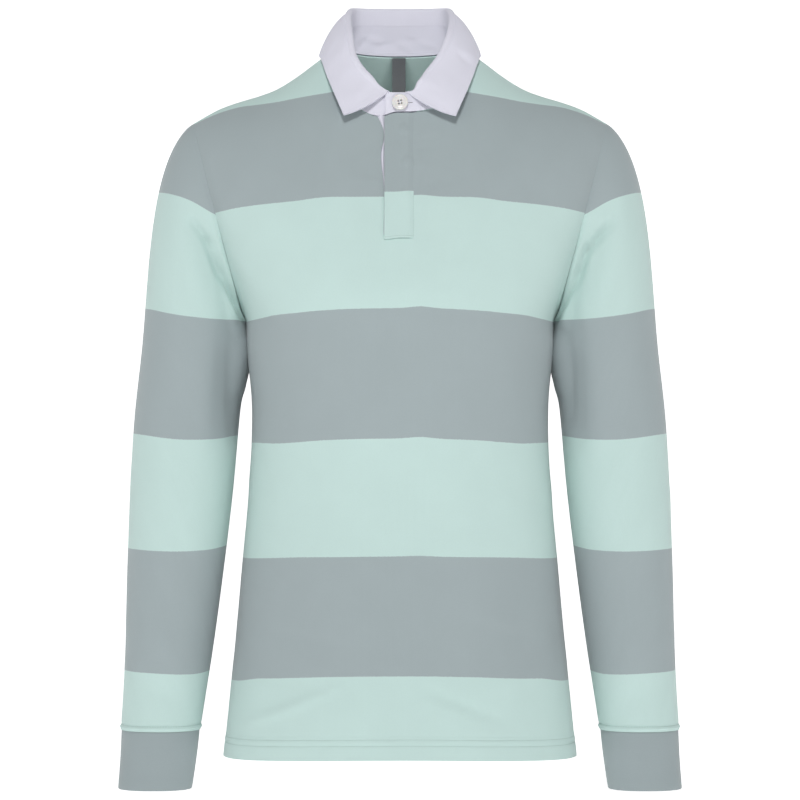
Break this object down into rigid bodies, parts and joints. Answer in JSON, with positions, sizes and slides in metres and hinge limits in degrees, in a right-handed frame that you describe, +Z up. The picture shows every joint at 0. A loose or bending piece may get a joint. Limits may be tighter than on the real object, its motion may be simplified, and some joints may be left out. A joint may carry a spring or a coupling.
{
  "type": "long-sleeve polo shirt",
  "caption": "Long-sleeve polo shirt, filled out as worn: striped body and sleeves, plain cuffs, a white turn-down collar on a buttoned stand, and a concealed front placket.",
  "frame": {"origin": "the middle of the neck opening, where the wearer's neck and shoulders hold the shirt up", "axes": "+Z up along the body, the front faces -Y, +X is the viewer's right"},
  "size_m": [0.559, 0.2493, 0.7816],
  "materials": {
    "mint": "matte knit",
    "grey": "matte knit",
    "white": "matte knit",
    "shell": "satin",
    "dark": "matte woven"
  },
  "bodies": {
    "root": {"front": "mint", "back": "mint", "sleeve_left": "mint", "sleeve_right": "mint", "placket": "mint", "cuff_left": "grey", "cuff_right": "grey", "collar_leaf": "white", "collar_stand": "white", "under_placket": "white", "button": "shell", "neck_label": "dark"}
  },
  "joints": []
}
